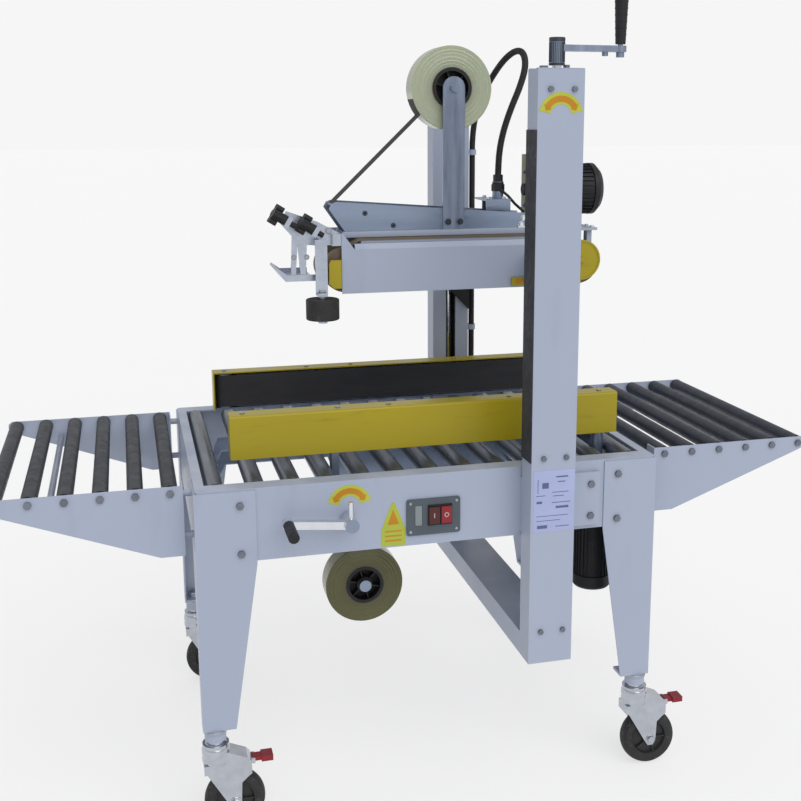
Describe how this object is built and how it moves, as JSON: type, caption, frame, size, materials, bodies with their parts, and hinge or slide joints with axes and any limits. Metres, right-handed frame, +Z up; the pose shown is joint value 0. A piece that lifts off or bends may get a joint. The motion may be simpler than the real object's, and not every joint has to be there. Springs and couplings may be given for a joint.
{
  "type": "carton sealer machine",
  "caption": "Free-standing carton sealing machine with side drive belts, upper and lower tape heads on two columns, roller bed and extension tables, on casters.",
  "frame": {"origin": "bottom centre of the bounding box, on the floor", "axes": "+X is the way a carton travels, along the length; +Y points away from the operator side with the switches; +Z is up"},
  "size_m": [1.77, 0.887, 1.695],
  "materials": {
    "body_paint": "satin powder coat",
    "guard_yellow": "gloss paint",
    "roller_dark": "satin",
    "roller_steel": "zinc plated",
    "steel_plate": "satin",
    "chrome_trim": "polished",
    "zinc_bolt": "zinc plated",
    "black_plastic": "moulded",
    "belt_rubber": "matte",
    "motor_black": "satin",
    "tape_clear": "wound tape, slightly cloudy",
    "tape_olive": "wound tape, slightly cloudy",
    "red_plastic": "moulded",
    "caster_tyre": "matte",
    "switch_grey": "moulded"
  },
  "bodies": {
    "frame": {"bed_side_front": "body_paint", "bed_side_rear": "body_paint", "bed_end_infeed": "body_paint", "bed_end_outfeed": "body_paint", "leg_front_infeed": "body_paint", "leg_front_outfeed": "body_paint", "leg_rear_infeed": "body_paint", "leg_rear_outfeed": "body_paint", "front_column": "body_paint", "rear_column": "body_paint", "cross_channel": "body_paint", "frame_bolts": "zinc_bolt", "bed_rollers": "roller_steel", "guide_rod": "chrome_trim", "switch_box": "switch_grey", "lower_head_frame": "steel_plate", "infeed_table": "body_paint", "outfeed_table": "body_paint", "infeed_rollers": "roller_dark", "outfeed_rollers": "roller_dark", "conduit": "black_plastic"},
    "start_button": {"start_button": "black_plastic"},
    "stop_button": {"stop_button": "red_plastic"},
    "lower_roll": {"lower_tape_roll": "tape_olive", "lower_roll_hub": "black_plastic"},
    "front_belt_unit": {"front_belt_guard": "guard_yellow", "front_belt_drive": "motor_black", "front_belt": "belt_rubber"},
    "rear_belt_unit": {"rear_belt_guard": "guard_yellow", "rear_belt_drive": "motor_black", "rear_belt": "belt_rubber"},
    "width_crank": {"width_crank": "chrome_trim"},
    "width_grip": {"width_grip": "black_plastic"},
    "head": {"head_carriage": "body_paint", "head_tray": "body_paint", "tape_head": "steel_plate", "roll_arm": "steel_plate", "top_belt": "belt_rubber", "belt_end_caps": "guard_yellow", "head_ski": "steel_plate", "top_motor": "motor_black"},
    "upper_roll": {"upper_tape_roll": "tape_clear", "upper_roll_hub": "black_plastic"},
    "star_knob_a": {"star_knob_a": "black_plastic"},
    "star_knob_b": {"star_knob_b": "black_plastic"},
    "press_roller": {"press_roller": "belt_rubber"},
    "height_crank": {"front_lead_screw": "roller_steel", "height_crank": "chrome_trim"},
    "crank_grip": {"crank_grip": "black_plastic"},
    "rear_lead_screw": {"rear_lead_screw": "roller_steel"},
    "caster_fl": {"caster_fork_fl": "steel_plate"},
    "wheel_fl": {"caster_wheel_fl": "caster_tyre"},
    "pedal_fl": {"caster_pedal_fl": "red_plastic"},
    "caster_fr": {"caster_fork_fr": "steel_plate"},
    "wheel_fr": {"caster_wheel_fr": "caster_tyre"},
    "pedal_fr": {"caster_pedal_fr": "red_plastic"},
    "caster_rl": {"caster_fork_rl": "steel_plate"},
    "wheel_rl": {"caster_wheel_rl": "caster_tyre"},
    "caster_rr": {"caster_fork_rr": "steel_plate"},
    "wheel_rr": {"caster_wheel_rr": "caster_tyre"}
  },
  "joints": [
    {"name": "head_lift", "type": "slide", "parent": "frame", "child": "head", "axis": [0, 0, 1], "range_m": [-0.15, 0.2], "deforming": ["conduit"]},
    {"name": "height_crank_turn", "type": "hinge", "parent": "frame", "child": "height_crank", "pos_m": [0.23, -0.3575, 1.545], "axis": [0, 0, 1], "range_deg": [-2700, 3600]},
    {"name": "rear_screw_turn", "type": "hinge", "parent": "frame", "child": "rear_lead_screw", "pos_m": [0.23, 0.4105, 1], "axis": [0, 0, 1], "range_deg": [-2700, 3600]},
    {"name": "crank_grip_spin", "type": "hinge", "parent": "height_crank", "child": "crank_grip", "pos_m": [0.362, -0.3575, 1.64], "axis": [0, 0, 1], "continuous": true},
    {"name": "front_belt_shift", "type": "slide", "parent": "frame", "child": "front_belt_unit", "axis": [0, 1, 0], "range_m": [-0.05, 0.11]},
    {"name": "rear_belt_shift", "type": "slide", "parent": "frame", "child": "rear_belt_unit", "axis": [0, 1, 0], "range_m": [-0.11, 0.05]},
    {"name": "width_crank_turn", "type": "hinge", "parent": "frame", "child": "width_crank", "pos_m": [-0.188, -0.3535, 0.653], "axis": [0, 1, 0], "range_deg": [-900, 1980]},
    {"name": "width_grip_spin", "type": "hinge", "parent": "width_crank", "child": "width_grip", "pos_m": [-0.313, -0.4035, 0.664], "axis": [0, 1, 0], "continuous": true},
    {"name": "upper_roll_spin", "type": "hinge", "parent": "head", "child": "upper_roll", "pos_m": [0.122, 0.0265, 1.511], "axis": [0, 1, 0], "continuous": true},
    {"name": "lower_roll_spin", "type": "hinge", "parent": "frame", "child": "lower_roll", "pos_m": [-0.089, 0.0265, 0.367], "axis": [0, 1, 0], "continuous": true},
    {"name": "star_knob_a_turn", "type": "hinge", "parent": "head", "child": "star_knob_a", "pos_m": [-0.262, -0.0635, 1.232], "axis": [-0.8486, 0, 0.5291], "range_deg": [-180, 180]},
    {"name": "star_knob_b_turn", "type": "hinge", "parent": "head", "child": "star_knob_b", "pos_m": [-0.203, -0.0635, 1.211], "axis": [-0.8486, 0, 0.5291], "range_deg": [-180, 180]},
    {"name": "press_roller_spin", "type": "hinge", "parent": "head", "child": "press_roller", "pos_m": [-0.188, -0.0715, 1.041], "axis": [0, 0, 1], "continuous": true},
    {"name": "start_press", "type": "slide", "parent": "frame", "child": "start_button", "axis": [0, 1, 0], "range_m": [0, 0.004], "stiffness_N_per_m": 500, "springref_m": -0.002},
    {"name": "stop_press", "type": "slide", "parent": "frame", "child": "stop_button", "axis": [0, 1, 0], "range_m": [0, 0.004], "stiffness_N_per_m": 500, "springref_m": -0.002},
    {"name": "caster_fl_swivel", "type": "hinge", "parent": "frame", "child": "caster_fl", "pos_m": [-0.466, -0.3065, 0.175], "axis": [0, 0, 1], "continuous": true},
    {"name": "wheel_fl_roll", "type": "hinge", "parent": "caster_fl", "child": "wheel_fl", "pos_m": [-0.431, -0.3065, 0.0625], "axis": [0, 1, 0], "continuous": true},
    {"name": "pedal_fl_tip", "type": "hinge", "parent": "caster_fl", "child": "pedal_fl", "pos_m": [-0.391, -0.3065, 0.146], "axis": [0, 1, 0], "range_deg": [-15, 0]},
    {"name": "caster_fr_swivel", "type": "hinge", "parent": "frame", "child": "caster_fr", "pos_m": [0.466, -0.3065, 0.175], "axis": [0, 0, 1], "continuous": true},
    {"name": "wheel_fr_roll", "type": "hinge", "parent": "caster_fr", "child": "wheel_fr", "pos_m": [0.501, -0.3065, 0.0625], "axis": [0, 1, 0], "continuous": true},
    {"name": "pedal_fr_tip", "type": "hinge", "parent": "caster_fr", "child": "pedal_fr", "pos_m": [0.541, -0.3065, 0.146], "axis": [0, 1, 0], "range_deg": [-15, 0]},
    {"name": "caster_rl_swivel", "type": "hinge", "parent": "frame", "child": "caster_rl", "pos_m": [-0.466, 0.3595, 0.175], "axis": [0, 0, 1], "continuous": true},
    {"name": "wheel_rl_roll", "type": "hinge", "parent": "caster_rl", "child": "wheel_rl", "pos_m": [-0.431, 0.3595, 0.0625], "axis": [0, 1, 0], "continuous": true},
    {"name": "caster_rr_swivel", "type": "hinge", "parent": "frame", "child": "caster_rr", "pos_m": [0.466, 0.3595, 0.175], "axis": [0, 0, 1], "continuous": true},
    {"name": "wheel_rr_roll", "type": "hinge", "parent": "caster_rr", "child": "wheel_rr", "pos_m": [0.501, 0.3595, 0.0625], "axis": [0, 1, 0], "continuous": true}
  ],
  "couplings": [
    {"joint": "height_crank_turn", "follows": "head_lift", "rad_per_m": 314.15},
    {"joint": "rear_screw_turn", "follows": "head_lift", "rad_per_m": 314.15},
    {"joint": "rear_belt_shift", "follows": "front_belt_shift", "ratio": -1},
    {"joint": "width_crank_turn", "follows": "front_belt_shift", "rad_per_m": 314.15}
  ]
}
